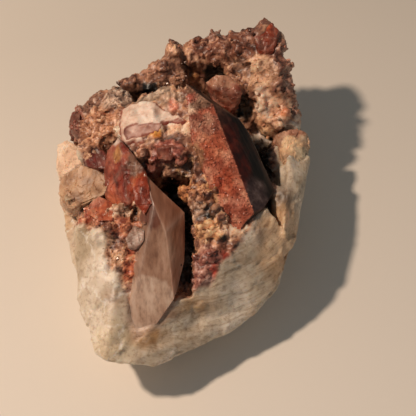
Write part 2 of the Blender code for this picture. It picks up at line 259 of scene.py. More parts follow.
# Outlines as seen from above, each given as (X, Y) points.
STAINED_TOP = [
    (-36, 26), (-33.5, 18), (-29, 10), (-28, 2), (-31, -3), (-30, -9), (-25.6, -12),
    (-21, -16.5), (-21, -21.6), (-19, -24.6), (-15.8, -27), (-15, -32), (-12, -38),
    (-5, -31), (2.2, -30), (9.1, -27), (10.2, -25), (13.3, -21.6), (15.2, -18.9),
    (17.7, -14.1), (21.3, -9), (25.8, 2), (26.5, 8), (26, 17.6), (28, 22), (33, 24),
    (37, 30), (35, 40), (30, 47), (24, 53), (8, 53), (-7, 47), (-22, 36), (-32, 31),
]
BACK_AND_RIGHT_RIDGE = [
    (-24, 33), (-16, 30), (-8, 34), (0, 36), (4, 40), (12, 40), (18, 36), (18, 30), (21, 25),
    (24, 19), (28, 21), (35, 22), (38, 30), (36, 40), (33, 47), (26, 55), (8, 55), (-8, 49),
    (-22, 40),
]
FRONT_WALL = [
    (-12, -41), (-4, -33), (2, -30), (13, -21), (18, -14), (24, -4), (28, 6), (34, 14),
    (42, 0), (40, -20), (20, -50), (-14, -58),
]

# Patches of colour: middle, reach each way, then the dark, middling and light tint.
PALE = ("#bca890", "#dccdb8", "#f3eadd")
WALL_PATCHES = [
    ((-22.5, -25.4, 25.8), (4, 5, 5), "#cdb8a0", "#ebdfcf", "#fbf6ee"),
    ((-18, -32.2, 25.3), (3, 2.4, 2.6), "#a08268", "#b89f87", "#cdb7a0"),
    ((-27, -15, 23), (4.5, 6, 7), "#ac9a82", "#c8b69c", "#ded0bc"),
    ((-18, -43, 20), (6, 6, 7), "#bca888", "#dac8ac", "#f2e6d0"),
    ((-8.8, -41, 20), (5, 3, 3), "#a07a54", "#c49c70", "#dcbe96"),
    ((-4.1, -35.4, 22.5), (4, 2.5, 2.6), "#6f4f3c", "#9b7e67", "#c8b096"),
    ((4, -33, 21), (6, 2.5, 3), "#8a6a4c", "#b3916c", "#d8bf9c"),
    # Painted shade: a darker, striped patch on the right wall beside the red point's end.
    ((27.2, -3.5, 23), (3.2, 8, 6), "#463a32", "#756456", "#a09080"),
    ((-34.5, -1, 19), (5, 9, 9), "#a4866a", "#c8a886", "#e4caaa"),
    ((33.5, 2.5, 18), (4, 5, 8), "#968c78", "#b8aa94", "#dacdb8"),
    # Painted shade: a darker patch on the wall just right of the crest.
    ((21.2, -13.6, 28), (2.8, 5, 3.5), "#84705e", "#a89280", "#c8b49e"),
    ((24, -12, 20), (9, 12, 9), "#b29474", "#dab894", "#f2d8b8"),
]
STAINED = ("#5c3c32", "#8a6450", "#b89072")
WHITE_VEIN = "#fbf6ee"
PINK_LINING = ("#a8866e", "#ceb09a", "#ead4c2")
# Near-black painted shade, laid over the hollows on top.
PAINTED_HOLLOW_SHADE = ("#050403", "#0c0806", "#1e1512")
RED_RIM = ("#7c2b1b", "#a8402f", "#c0705f")
TOP_PATCHES = [
    # the dome on the left, and the grey quartz behind the two large crystals
    ((-24, 17, 32), (5.5, 6.5, 4), "#80563f", "#b08468", "#debb9e"),
    ((-18.6, 26, 34), (5.5, 4.5, 4), "#523e34", "#907666", "#d2beac"),
    ((-26.5, 27, 31), (4, 4.5, 4), "#54362a", "#806050", "#b8a090"),
    ((-31.3, 21, 28), (2.6, 6, 5), "#4a231c", "#744438", "#987668"),
    ((-18.2, 14.5, 36), (1.8, 4.4, 3), "#b08a72", "#e0c2a9", "#f6e2ca"),
    ((-9.5, 23.4, 38.5), (7, 3.4, 4), "#5e4e42", "#86705f", "#b8a492"),
    ((-3.6, 20.8, 40.3), (3.8, 2.6, 2.5), "#6a5242", "#927662", "#b89c86"),
    ((-2.6, 18.9, 40.4), (1.8, 1.4, 2), "#8a4a3a", "#b0705a", "#c99078"),
    # between the crystals
    ((-0.6, 12.6, 39.5), (5.8, 2.6, 2.5), "#b88c70", "#f0ceae", "#fff2e2"),
    ((-6.9, 10.9, 38.2), (1.7, 0.9, 1.6), "#a05a20", "#d98a35", "#f0b060"),
    ((-4.6, 9.2, 38), (2.8, 1.0, 1.8), "#2a1a14", "#4a332a", "#8a6a55"),
    ((-11, 6.5, 36.2), (2.6, 2.6, 2.6), "#674333", "#9b6d55", "#b88a71"),
    ((-4.4, 5.8, 36.4), (5.4, 3.2, 3), "#4a221c", "#7c443a", "#a86e5e"),
    ((-8.6, 3, 32), (2.8, 2.6, 3), "#3b1814", "#602e27", "#8d6354"),
    # the back ridge
    ((-2, 39.5, 29), (8, 6, 5), "#4e3026", "#906a56", "#c09a80"),
    ((-14, 36, 28), (7, 5, 5), "#4e3026", "#8a6450", "#bc947a"),
    ((-2.6, 43.3, 33), (2.6, 2.6, 2.6), "#664a3c", "#9b7660", "#c29a7c"),
    ((12, 46, 34), (12, 7, 6), "#3c221a", "#744a3a", "#b08870"),
    ((9.4, 49.2, 33), (2, 2, 2.4), "#78584b", "#8f6859", "#b09a8c"),
    ((2.3, 41.3, 23), (1.8, 1.8, 1.8), "#704830", "#aa7a52", "#d9a474"),
    # the right ridge
    ((28, 40, 33), (5, 5, 6), "#4b2e26", "#80594a", "#b08a76"),
    ((21, 35, 33), (6, 5.5, 6), "#7a5640", "#b8947a", "#e6c8a8"),
    ((17, 39.3, 30.5), (3.4, 3, 3), "#3e2a22", "#74574a", "#aa866c"),
    ((30.5, 31, 30), (3.2, 8, 6), "#4a2e26", "#8c6656", "#c49f88"),
    ((27, 25.5, 28.5), (4.5, 6, 4), "#946a54", "#cca486", "#f0d4b8"),
    # the cream vein: its own cream, painted lighter and warmer as painted lamp light on a face that
    # lies in shade
    ((22, 27, 29), (2.6, 4.6, 5.5), "#d49c7c", "#fbd6b8", "#fff0de"),
    ((28.7, 24.8, 28.7), (1.7, 1.7, 2), "#9c6148", "#bd8061", "#dc9f74"),
    ((22.5, 23.5, 22), (4.5, 3, 4), "#845e48", "#cca07c", "#f0cca4"),
    # the keel between the two large crystals, and the pink quartz at its foot
    ((6, -3, 34), (5, 6, 3), "#46281e", "#93654c", "#dcae7a"),
    ((1, 3.2, 32.5), (4.6, 3.8, 3.5), "#38231b", "#7e5b47", "#d8b488"),
    ((0.6, -3.4, 30.8), (3.2, 2.8, 3.4), "#50281c", "#b07a52", "#f6c48c"),
    ((5.1, -9.9, 32.6), (5, 2.8, 3), "#33201a", "#70503c", "#ab8f7c"),
    ((6.7, -11, 32.3), (1.5, 0.9, 1.8), *PAINTED_HOLLOW_SHADE),
    ((6.7, -15.5, 32), (4.4, 3.6, 3), "#5c3a2a", "#c29068", "#eec89c"),
    ((13.9, -15.4, 31), (4.2, 3.2, 2.8), "#94684f", "#dab496", "#faeede"),
    ((10.4, -18.2, 31), (1.7, 1, 1.8), *PAINTED_HOLLOW_SHADE),
    ((9.9, -19.9, 29.6), (4, 1.6, 2), "#4e2a1c", "#855a49", "#c0967c"),
    ((6.4, -22.6, 29), (4.6, 3, 3), "#4d261e", "#84544a", "#b08a78"),
    ((4.9, -28, 25.6), (3.6, 3.8, 3.4), "#653830", "#94695c", "#bb988c"),
    ((11.5, -21.9, 28.7), (1.2, 1.7, 1.8), *RED_RIM),
    ((8.6, -25.5, 26.7), (1.1, 2.0, 1.8), *RED_RIM),
    # the terrace on the left of the clear point
    ((-28, -8.6, 26.5), (3.4, 2.8, 3.5), "#74382a", "#9c5c48", "#c89478"),
    ((-22.6, -9.3, 30), (4.6, 3, 3), "#92503c", "#bc8066", "#e4b69a"),
    ((-26.6, -4.8, 25.5), (3.6, 1.5, 2.8), *PAINTED_HOLLOW_SHADE),
    ((-17.3, -8.7, 31), (3.6, 3, 3.2), "#80604c", "#ae8e78", "#e0c6ae"),
    ((-12.5, -7.4, 32.4), (2.8, 2.2, 2.6), "#7c4432", "#b88a6c", "#f0d8c4"),
    ((-15, -13.8, 31.2), (4.8, 3.4, 3), "#6e3828", "#a46a50", "#dcae8c"),
    ((-21, -16.6, 29.6), (2.8, 2.6, 2.6), "#543a2c", "#86664f", "#b39683"),
    ((-18, -22.6, 28.5), (2.8, 2.8, 2.6), "#765038", "#b38c6f", "#ecc8aa"),
    ((-13.9, -24.5, 27.6), (1.8, 7, 5), "#8e4630", "#c87c58", "#f0b890"),
    ((-17.4, -26, 27.6), (2, 2, 2.2), "#3a241a", "#634536", "#937562"),
    ((-16.4, -28.9, 26.6), (1.7, 2.4, 2.2), "#946c56", "#b98f70", "#d4b092"),
    # the deep hollows, painted near black as shade
    ((8.8, 40.5, 24.5), (3.4, 3.2, 5.5), *PAINTED_HOLLOW_SHADE),
    ((17.1, 29.1, 24.5), (2.8, 3.4, 5), *PAINTED_HOLLOW_SHADE),
    ((22.4, 16, 16), (3.4, 8, 7), *PAINTED_HOLLOW_SHADE),
    ((-10.4, 33.9, 27.5), (3, 1.8, 3), *PAINTED_HOLLOW_SHADE),
    ((-3.5, 1, 21), (3.6, 3.8, 9), *PAINTED_HOLLOW_SHADE),
    ((0.5, -12, 17.5), (3, 14, 6), *PAINTED_HOLLOW_SHADE),
]


def noise_row(cell):
    """Which of 4096 drawn rows belongs to each cell of a noise."""
    return (cell[:, 0] * 73856093 ^ cell[:, 1] * 19349663 ^ cell[:, 2] * 83492791) % 4096


def soft_noise(points, size, seed):
    """Soft lumps about size across, from -1 to 1, at each point."""
    place = points / size + seed * 7.31
    low = np.floor(place).astype(np.int64)
    part = place - low
    part = part**3 * (part * (part * 6 - 15) + 10)
    table = np.random.default_rng(seed).uniform(-1, 1, 4096)
    total = np.zeros(len(points))
    for corner in itertools.product((0, 1), repeat=3):
        weight = np.prod(np.where(corner, part, 1 - part), axis=1)
        total += weight * table[noise_row(low + corner)]
    return total


def layered_noise(points, size, seed, layers=3):
    """Soft noise with finer, weaker layers added, from about -1 to 1."""
    total = 0
    for layer in range(layers):
        total = total + soft_noise(points, size / 2**layer, seed + layer) / 2**layer
    return total / 1.4


def wander_at(points, size, seed=11):
    """A soft push in three directions, which makes a straight edge wander."""
    return np.stack([layered_noise(points, size, seed + n) for n in range(3)], axis=1)


def broken_facets(points, size, seed):
    """Facets about size across, each tilted its own way: the height, the distance to the
    nearest edge between two facets, and one number from 0 to 1 for each facet."""
    place = points / size
    low = np.floor(place).astype(np.int64)
    numbers = np.random.default_rng(seed).uniform(0, 1, (4096, 7))
    nearest = np.full(len(points), 9.0)
    second = np.full(len(points), 9.0)
    height = np.zeros(len(points))
    own = np.zeros(len(points))
    for step in itertools.product((-1, 0, 1), repeat=3):
        spot = low + step
        drawn = numbers[noise_row(spot)]
        offset = place - spot - drawn[:, :3]
        distance = np.linalg.norm(offset, axis=1)
        tilt = drawn[:, 3:6] * 2 - 1
        closer = distance < nearest
        second = np.where(closer, nearest, np.minimum(second, distance))
        nearest = np.where(closer, distance, nearest)
        height = np.where(closer, np.sum(offset * tilt, axis=1), height)
        own = np.where(closer, drawn[:, 6], own)
    return height, second - nearest, own


def along_fibres(points):
    """Places measured along, across and up the curved fibres, squeezed along them."""
    away = points[:, :2] - np.array(FIBRE_CENTRE)
    reach = np.linalg.norm(away, axis=1)
    turn = np.arctan2(away[:, 1], away[:, 0])
    run = turn * FIBRE_SWEEP + 0.35 * points[:, 2]
    across = points[:, 2] - 0.25 * reach
    return np.stack([run / FIBRE_LENGTH, reach, across], axis=1)


def depth_inside(points, outline):
    """How far each point lies inside an outline seen from above; less than 0 outside it."""
    spots = np.asarray(points)[:, :2]
    ring = np.asarray(outline, dtype=float)
    nearest = np.full(len(spots), 1e9)
    inside = np.zeros(len(spots), dtype=bool)
    for start, end in zip(ring, np.roll(ring, -1, axis=0)):
        side = end - start
        along = np.clip((spots - start) @ side / (side @ side), 0, 1)
        gap = np.linalg.norm(spots - start - along[:, None] * side, axis=1)
        nearest = np.minimum(nearest, gap)
        crosses = (start[1] > spots[:, 1]) != (end[1] > spots[:, 1])
        reach = start[0] + (spots[:, 1] - start[1]) * side[0] / (side[1] or 1e-9)
        inside ^= crosses & (spots[:, 0] < reach)
    return np.where(inside, nearest, -nearest)


def faded(depth, width):
    """0 well outside, 1 well inside, turning from one to the other over width."""
    return np.clip(depth / width + 0.5, 0, 1)


def between(stops, share):
    """Linear colours from a dark through a middling to a light tint, by a share."""
    table = np.array([colour(stop)[:3] for stop in stops])
    return np.stack([np.interp(share, (0, 0.5, 1), table[:, n]) for n in range(3)], axis=1)


def laid_over(tint, points, patches, mottle, share=1.0, blur=0.7):
    """The tints with patches of colour laid over them, each with a ragged, blurred edge."""
    ragged = points + 1.0 * wander_at(points, 2.2, 17)
    for middle, reach, *stops in patches:
        depth = 1 - np.linalg.norm((ragged - middle) / np.array(reach), axis=1)
        cover = (share * faded(depth * min(reach), blur))[:, None]
        tint = tint + cover * (between(stops, mottle) - tint)
    return tint


def kept_hue(tint):
    """The tints with the brightest ones darkened as a whole, which keeps their hue."""
    return tint / np.maximum(tint.max(axis=1) / BRIGHTEST, 1)[:, None]


def keep_tint(mesh, tint):
    """Stores a colour for each point of a mesh, for its material to read."""
    made = mesh.attributes.new("tint", "FLOAT_COLOR", "POINT")
    made.data.foreach_set("color", np.c_[tint, np.ones(len(tint))].astype(np.float32).ravel())


def keep_value(mesh, name, values):
    """Stores one number for each point of a mesh, for its material to read."""
    made = mesh.attributes.new(name, "FLOAT", "POINT")
    made.data.foreach_set("value", np.asarray(values, dtype=np.float32))


def unit(vectors):
    """The same directions, each one unit long."""
    return vectors / np.linalg.norm(vectors, axis=1)[:, None]


def lump_corners(middle, reach, seed):
    """The corners of an angular lump about a middle."""
    corners = unit(np.random.default_rng(seed).normal(size=(16, 3)))
    return (corners * reach + middle).tolist()


def hull_of(corners, grow=0.0):
    """The convex hull of some corners, with each corner moved out by about grow."""
    bm = bmesh.new()
    for corner in corners:
        bm.verts.new(corner)
    bmesh.ops.convex_hull(bm, input=bm.verts)
    for vert in [v for v in bm.verts if not v.link_faces]:
        bm.verts.remove(vert)
    bmesh.ops.recalc_face_normals(bm, faces=bm.faces)
    bm.normal_update()
    moves = [grow * sum((f.normal for f in v.link_faces), Vector()).normalized() for v in bm.verts]
    for vert, move in zip(bm.verts, moves):
        vert.co += move
    bm.normal_update()
    return bm


def planes_of(bm):
    """The way out and the place of the plane of each face of a hull."""
    return np.array([(*f.normal, f.normal.dot(f.verts[0].co)) for f in bm.faces])


def hull_gap(points, corners):
    """How far each point lies outside the hull of some corners; less than 0 inside it."""
    bm = hull_of(corners)
    planes = planes_of(bm)
    bm.free()
    return (points @ planes[:, :3].T - planes[:, 3]).max(axis=1)


def mesh_lists(bm):
    """The points and faces of a bmesh, which it then frees."""
    bm.verts.index_update()
    points = np.array([v.co[:] for v in bm.verts])
    faces = [[v.index for v in f.verts] for f in bm.faces]
    bm.free()
    return points, faces


def points_of(mesh):
    """A mesh's points in millimetres."""
    found = np.empty(len(mesh.vertices) * 3)
    mesh.vertices.foreach_get("co", found)
    return found.reshape(-1, 3) / MM


def normals_of(mesh):
    """The way out of the surface at each of a mesh's points."""
    found = np.empty(len(mesh.vertices) * 3, dtype=np.float32)
    mesh.vertex_normals.foreach_get("vector", found)
    return found.reshape(-1, 3).astype(float)


def shown_mesh(made):
    """A new mesh of an object with its modifiers carried out."""
    bpy.context.view_layer.update()
    shaped = made.evaluated_get(bpy.context.evaluated_depsgraph_get())
    return bpy.data.meshes.new_from_object(shaped)


def shadiness(points, normals, seed):
    """How shut in each point is: the share of lines out of it that meet the rock."""
    ways = unit(np.random.default_rng(seed).normal(size=(SHADE_RAYS, 3)))
    found = np.zeros(len(points))
    for number, (point, normal) in enumerate(zip(points, normals)):
        start = Vector(point + normal * 0.4)
        hits = 0
        for way in ways:
            line = Vector(way + normal * 1.05)
            hits += rock_tree.ray_cast(start, line, SHADE_REACH)[0] is not None
        found[number] = hits / SHADE_RAYS
    return found


def noise_scale(spot):
    """The scale at which the spots of a material's noise are about spot across."""
    return 0.6 / (spot * MM)


# The solid is cut where the clear point and the left red point stand, and is then fused
# with its lumps on a fine grid.
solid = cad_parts["quartz_cluster"]
rough_copy = bpy.data.objects.new("rough_copy", solid.data.copy())
bpy.context.scene.collection.objects.link(rough_copy)
spares = [rough_copy]
open_end = [c for c in CLEAR_POINT_CORNERS if c[1] > SOCKET_END] + [(-10.7, 0.3, 38)]
for name, corners in (("clear_socket", open_end), ("red_socket", LEFT_RED_CORNERS)):
    socket = new_object(name, *mesh_lists(hull_of(corners, 0.12)), painted_board)
    cut = rough_copy.modifiers.new(name, "BOOLEAN")
    cut.operation = "DIFFERENCE"
    cut.object = socket
    spares.append(socket)
joined = bmesh.new()
joined.from_mesh(shown_mesh(rough_copy))
for number, (middle, reach) in enumerate(LUMPS):
    lump = hull_of(lump_corners(middle, reach, 301 + number))
    placed = {v: joined.verts.new(v.co * MM) for v in lump.verts}
    for face in lump.faces:
        joined.faces.new([placed[v] for v in face.verts])
    lump.free()
fused_mesh = bpy.data.meshes.new("fused")
joined.to_mesh(fused_mesh)
joined.free()
fused = bpy.data.objects.new("fused", fused_mesh)
bpy.context.scene.collection.objects.link(fused)
spares.append(fused)
remesh = fused.modifiers.new("grid", "REMESH")
remesh.mode = "VOXEL"
remesh.voxel_size = GRID * MM
rock_mesh = shown_mesh(fused)
rock_mesh.name = "massive_quartz"
for spare in spares:
    bpy.data.objects.remove(spare)

# Its surface then breaks into facets, lumps and splinters.
points = points_of(rock_mesh)
normals = normals_of(rock_mesh)
wander = wander_at(points, 5.0)
ragged = points + wander * 1.4
above = faded(points[:, 2] - STAIN_FLOOR + wander[:, 2] * 7, 4.0)
stained = faded(depth_inside(ragged, STAINED_TOP), 1.2) * above
fibrous = faded(depth_inside(ragged, FRONT_WALL), 5.0)
fibre_places = along_fibres(points + wander * 0.7)
facets, _, _ = broken_facets(ragged, FACET_SIZE, 21)
lumps, lump_edge, lump_own = broken_facets(points + wander * 0.8, LUMP_SIZE, 22)
small_lumps, small_edge, small_own = broken_facets(points + wander * 0.5, SMALL_LUMP_SIZE, 25)
splinters, _, _ = broken_facets(fibre_places, SPLINTER_SIZE, 23)
waves = layered_noise(fibre_places, 3.5, 24) * 3
steps = (np.floor(waves) + faded(waves % 1 - 0.8, 0.4)) / 3
on_ridge = faded(depth_inside(ragged, BACK_AND_RIGHT_RIDGE), 2.0)
lumps *= 1 - 0.3 * on_ridge
small_lumps *= 1 - 0.7 * on_ridge
crevices = (faded(0.12 - lump_edge, 0.2) + faded(0.1 - small_edge, 0.2)) * (1 - 0.7 * on_ridge)
rough = stained * (1 - fibrous)

# How far each point is moved out, in millimetres: facets all over, lumps on the stained
# top, faint ripples on bare walls, and splinters in low steps on the fibrous break. The
# foot stays flat, and the rock gives way under the crystals that stand in it.
height = (0.55 + 0.25 * stained) * facets * (1 - 0.3 * fibrous)
height += rough * (0.8 * lumps + 0.4 * small_lumps - 0.35 * crevices)
height += (1 - stained) * (0.05 * small_lumps + 0.3 * layered_noise(points, 5.0, 26))
height += fibrous * (0.06 * splinters + 0.12 * steps)
height *= faded(points[:, 2] - 0.8, 1.5)
standing = [(RED_POINT_CORNERS, UNDER_RED_POINT)]
standing += [(corners, UNDER_STUBS) for corners in STUBS.values()]
for corners, sunk in standing:
    height -= sunk * faded(0.3 - hull_gap(points, corners), 1.2)
clear_gap = hull_gap(points, CLEAR_POINT_CORNERS)
welded = faded(0.8 - clear_gap, 0.8) * faded(WELD_START - points[:, 1], 4.0)
height += welded * (1.3 * faded(WELD_FULL - points[:, 1], 4.0) - 0.6 - 0.7 * height)
points = points + normals * height[:, None]
points[:, 2] = np.maximum(points[:, 2], 0.0)
rock_mesh.vertices.foreach_set("co", (points * MM).ravel())
rock_mesh.shade_smooth()
rock_mesh.update()
rock_tree = BVHTree.FromPolygons(points.tolist(), [p.vertices[:] for p in rock_mesh.polygons])

# Its colours: pale walls with white veins, a stained top, and near-black painted shade in the
# hollows.
mottle = np.clip(0.5 + 0.5 * layered_noise(ragged, 6.0, 31, 4), 0, 1)
# Random tone of the grain, with painted light and shade: lighter where the small lumps stand high,
# darker in the creases between them.
grain_and_painted_shade = 0.3 * layered_noise(points, 1.6, 35) + 0.55 * lump_own + 0.35 * small_own + 0.05
grain_and_painted_shade = np.clip(grain_and_painted_shade + 0.5 * small_lumps - 0.4 * faded(0.1 - small_edge, 0.15), 0, 1)
rock_tint = laid_over(between(PALE, mottle), points, WALL_PATCHES, mottle, blur=2.6)
vein = faded(0.05 - np.abs(layered_noise(ragged, 8.0, 33)), 0.08) * (0.6 - 0.4 * fibrous)
rock_tint = rock_tint + vein[:, None] * (np.array(colour(WHITE_VEIN)[:3]) - rock_tint)
rock_tint += stained[:, None] * (between(STAINED, grain_and_painted_shade) - rock_tint)
rock_tint = laid_over(rock_tint, points, TOP_PATCHES, grain_and_painted_shade, stained)
lining = faded(1.4 - clear_gap, 1.6) * faded(LINING_START - points[:, 1], 3.0)
rock_tint += lining[:, None] * (between(PINK_LINING, mottle) - rock_tint)
shade = np.zeros(len(points))
upper = np.flatnonzero((stained > 0.05) & (points[:, 2] > 8))
shade[upper] = shadiness(points[upper], normals[upper], 5)
# Painted shade: where the lines out of a point meet the rock, the stained tint darkens nearly to
# black.
painted_shade = faded(shade - 0.72, 0.4) * stained * (1 - lining)
rock_tint = kept_hue(rock_tint * (1 + stained[:, None] * STAIN_LIFT))
rock_tint *= 1 - 0.9 * painted_shade[:, None]
keep_tint(rock_mesh, rock_tint)
keep_value(rock_mesh, "fibrous", 0.6 * fibrous * (1 - stained))
fibre_store = rock_mesh.attributes.new("fibre_place", "FLOAT_VECTOR", "POINT")
fibre_store.data.foreach_set("vector", (fibre_places * MM).astype(np.float32).ravel())

# Massive quartz: greasy, and cloudy with fine cracks; hair-fine fibres on the fresh break.
massive_quartz, tree, shader = new_material(
    "massive_quartz",
    {
        "Roughness": 0.36, "IOR": QUARTZ_IOR, "Subsurface Weight": 0.5,
        "Subsurface Radius": (1.0, 0.75, 0.5), "Subsurface Scale": 2.2 * MM,
    },
)
place = add_node(tree, "ShaderNodeTexCoord").outputs["Object"]
tint = add_node(tree, "ShaderNodeAttribute", {"attribute_name": "tint"}).outputs["Color"]
share = add_node(tree, "ShaderNodeAttribute", {"attribute_name": "fibrous"}).outputs["Fac"]
run = add_node(tree, "ShaderNodeAttribute", {"attribute_name": "fibre_place"}).outputs["Vector"]
specks = add_node(
    tree, "ShaderNodeTexNoise",
    inputs={"Vector": place, "Scale": noise_scale(0.7), "Detail": 4.0, "Roughness": 0.7},
)
speck_tints = add_node(
    tree, "ShaderNodeValToRGB", inputs={"Fac": specks}, stops=[(0.36, "#cdbdb0"), (0.5, "#ffffff")]
)
hairs = add_node(
    tree, "ShaderNodeTexNoise",
    inputs={"Vector": run, "Scale": noise_scale(0.5), "Detail": 5.0, "Roughness": 0.7},
)
hair_tints = add_node(
    tree, "ShaderNodeValToRGB", inputs={"Fac": hairs},
    stops=[(0.34, "#b09a84"), (0.45, "#ece2d6"), (0.54, "#ffffff")],
)
speckled = add_node(
    tree, "ShaderNodeMix", {"data_type": "RGBA", "blend_type": "MULTIPLY"},
    {0: 0.65, 6: tint, 7: speck_tints},
)
streaked = add_node(
    tree, "ShaderNodeMix", {"data_type": "RGBA", "blend_type": "MULTIPLY"},
    {0: share, 6: speckled, 7: hair_tints},
)
tree.links.new(streaked.outputs[2], shader.inputs["Base Color"])
relief = add_node(tree, "ShaderNodeMath", {"operation": "ADD"}, {0: specks, 1: hairs})
bump = add_node(
    tree, "ShaderNodeBump", inputs={"Height": relief, "Strength": 0.45, "Distance": 0.25 * MM}
)
tree.links.new(bump.outputs["Normal"], shader.inputs["Normal"])

rock = bpy.data.objects.new("massive_quartz", rock_mesh)
bpy.context.scene.collection.objects.link(rock)
rock_mesh.materials.clear()
rock_mesh.materials.append(massive_quartz)
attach(rock, "root")
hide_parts("quartz_cluster")

# --- Clear point ---------------------------------------------------------------------------
# The large front crystal is clear quartz, smoky pink inside, grown out of the pocket's
# floor. Fine growth lines run along it, and its right side is a little warmer.

WORN_WITHIN = 0.9  # how far in from a crystal's edges their wear reaches
RUBBED_AND_HIGHLIT_WITHIN = 0.35  # and how far in they are painted lighter, as wear and as a painted highlight
RUBBED_AND_HIGHLIT_SHARE = 0.2
SHARP_ANGLE = math.radians(18.0)  # facets that meet at more than this have a sharp edge
CLEAR_RUN = (0.06, -0.9, -0.42)  # the way its growth lines run
CLEAR = ("#8e6650", "#b08870", "#ceaa94")
WARM_SIDE = ("#a87058", "#d89e80", "#f4ccb0")
CLEAR_PATCHES = [
    ((-9, -36, 24), (8, 10, 8), "#b89680", "#d6b8a2", "#f0dccc"),
    ((-7.4, -8, 32.5), (5.6, 7.5, 6), "#5c3022", "#824e3a", "#aa785c"),
    ((-11.4, -5.4, 35.5), (3.2, 3.4, 3.5), "#8c3820", "#b4603e", "#d09070"),
    ((-10.5, 0, 37), (2.6, 3, 3), "#704436", "#9c7462", "#c8a898"),
]


def halve_long_edges(bm, longest):
    """Splits a triangle mesh's edges at their middle until none is over the limit."""
    for _ in range(30):
        long_edges = [e for e in bm.edges if e.calc_length() > longest]
        for edge in sorted(long_edges, key=lambda e: -e.calc_length()):
            ends = list(edge.verts)
            beside = list(edge.link_faces)
            middle = bmesh.utils.edge_split(edge, ends[0], 0.5)[1]
            for face in beside:
                across = [v for v in face.verts if v not in ends and v is not middle]
                bmesh.utils.face_split(face, middle, across[0])


def stretched(points, run, times):
    """Squeezes space along run, so that a pattern drawn in it comes out that much longer."""
    run = np.asarray(run) / np.linalg.norm(run)
    return points - np.outer(points @ run, run) * (1 - 1 / times)


def fine_hull(corners, grow, spacing, chip, seed, run=None, line_height=0.0, wave=0.07):
    """A crystal's hull on a fine mesh, with worn edges, faint waves and growth lines: its
    points and faces, the way each point's facet looks, and how far off the edges are."""
    bm = hull_of(corners, grow)
    planes = planes_of(bm)
    halve_long_edges(bm, spacing)
    points, faces = mesh_lists(bm)
    depths = planes[:, 3] - points @ planes[:, :3].T
    order = np.argsort(depths, axis=1)
    own = planes[order[:, 0], :3]
    alike = (planes[:, :3] @ own.T).T > 0.98
    to_edge = np.where(alike, 99.0, depths).min(axis=1)
    wear = chip * (0.5 + 0.5 * layered_noise(points, 3.0, seed))
    worn = np.clip(1 - to_edge / WORN_WITHIN, 0, 1) ** 2 * np.maximum(wear, 0.1 * chip)
    move = wave * layered_noise(points, 7.0, seed + 3)
    if run is not None:
        lines = stretched(points, run, 30.0)
        move = move + line_height * np.abs(layered_noise(lines, 1.3, seed + 5, 2))
    away = unit(points - points.mean(axis=0))
    return points + own * move[:, None] - away * worn[:, None], faces, own, to_edge


def crystal(name, made, tint, edge_wear_and_highlight, material):
    """Puts a fine hull into the scene as a crystal, lighter along its edges: partly wear, partly a
    painted highlight where the edges catch the light.
    """
    points, faces, _, to_edge = made
    piece = new_object(name, points, faces, material)
    rubbed_and_highlit = RUBBED_AND_HIGHLIT_SHARE * np.clip(1 - to_edge / RUBBED_AND_HIGHLIT_WITHIN, 0, 1)[:, None]
    keep_tint(piece.data, tint + rubbed_and_highlit * (np.array(colour(edge_wear_and_highlight)[:3]) - tint))
    piece.data.shade_smooth()
    piece.data.set_sharp_from_angle(angle=SHARP_ANGLE)
    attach(piece, "root")


def quartz(name, spot, noise, stops, share, values, drawn_out=None, relief=None):
    """A kind of quartz whose own tints are mottled by noise with spots of a real size.

    The stops colour the noise, and share is how strong it is. The shader takes its plain
    values as they are. The noise can be drawn out to streaks, and can stand up as relief,
    given as a strength and a height."""
    material, tree, shader = new_material(name, {"IOR": QUARTZ_IOR, **values})
    place = add_node(tree, "ShaderNodeTexCoord").outputs["Object"]
    if drawn_out:
        place = add_node(tree, "ShaderNodeMapping", inputs={"Vector": place, **drawn_out})
    spots = add_node(
        tree, "ShaderNodeTexNoise", inputs={"Vector": place, "Scale": noise_scale(spot), **noise}
    )
    spot_tints = add_node(tree, "ShaderNodeValToRGB", inputs={"Fac": spots}, stops=stops)
    tint = add_node(tree, "ShaderNodeAttribute", {"attribute_name": "tint"}).outputs["Color"]
    mottled = add_node(
        tree, "ShaderNodeMix", {"data_type": "RGBA", "blend_type": "MULTIPLY"},
        {0: share, 6: tint, 7: spot_tints},
    )
    tree.links.new(mottled.outputs[2], shader.inputs["Base Color"])
    if relief:
        strength, height = relief
        bump = add_node(
            tree, "ShaderNodeBump",
            inputs={"Height": spots, "Strength": strength, "Distance": height * MM},
        )
        tree.links.new(bump.outputs["Normal"], shader.inputs["Normal"])
    return material


# Clear quartz: see-through in part, with veils along its growth lines.
clear_quartz = quartz(
    "clear_quartz", 0.8, {"Detail": 5.0, "Roughness": 0.65},
    stops=[(0.34, "#94705f"), (0.5, "#e8dcd4"), (0.62, "#ffffff")], share=0.6,
    values={
        "Roughness": 0.32, "Specular IOR Level": 0.3, "Transmission Weight": 0.25,
        "Subsurface Weight": 0.3, "Subsurface Radius": (1.0, 0.7, 0.55),
        "Subsurface Scale": 2.0 * MM,
    },
    drawn_out={"Rotation": (0.43, 0.0, 0.0), "Scale": (1.0, 0.08, 1.0)}, relief=(0.4, 0.12),
)

clear_made = fine_hull(
    CLEAR_POINT_CORNERS, grow=0.35, spacing=0.5, chip=0.2, seed=31, run=CLEAR_RUN, line_height=0.06
)
clear_points, _, clear_ways, _ = clear_made
veils = layered_noise(stretched(clear_points, CLEAR_RUN, 3.0), 4.0, 33, 4)
mottle = np.clip(0.5 + 0.5 * veils, 0, 1)
tint = laid_over(between(CLEAR, mottle), clear_points, CLEAR_PATCHES, mottle)
right_side = 0.95 * faded(clear_ways[:, 0] - 0.45, 0.1)[:, None]
tint += right_side * (between(WARM_SIDE, mottle) - tint)
crystal("clear_point", clear_made, tint, "#f4e4d8", clear_quartz)

# --- Red point -----------------------------------------------------------------------------
# The second large crystal is coloured dark red right through by iron. Its right face is
# bare and glossy, and its left face is coated with a fine red grain.

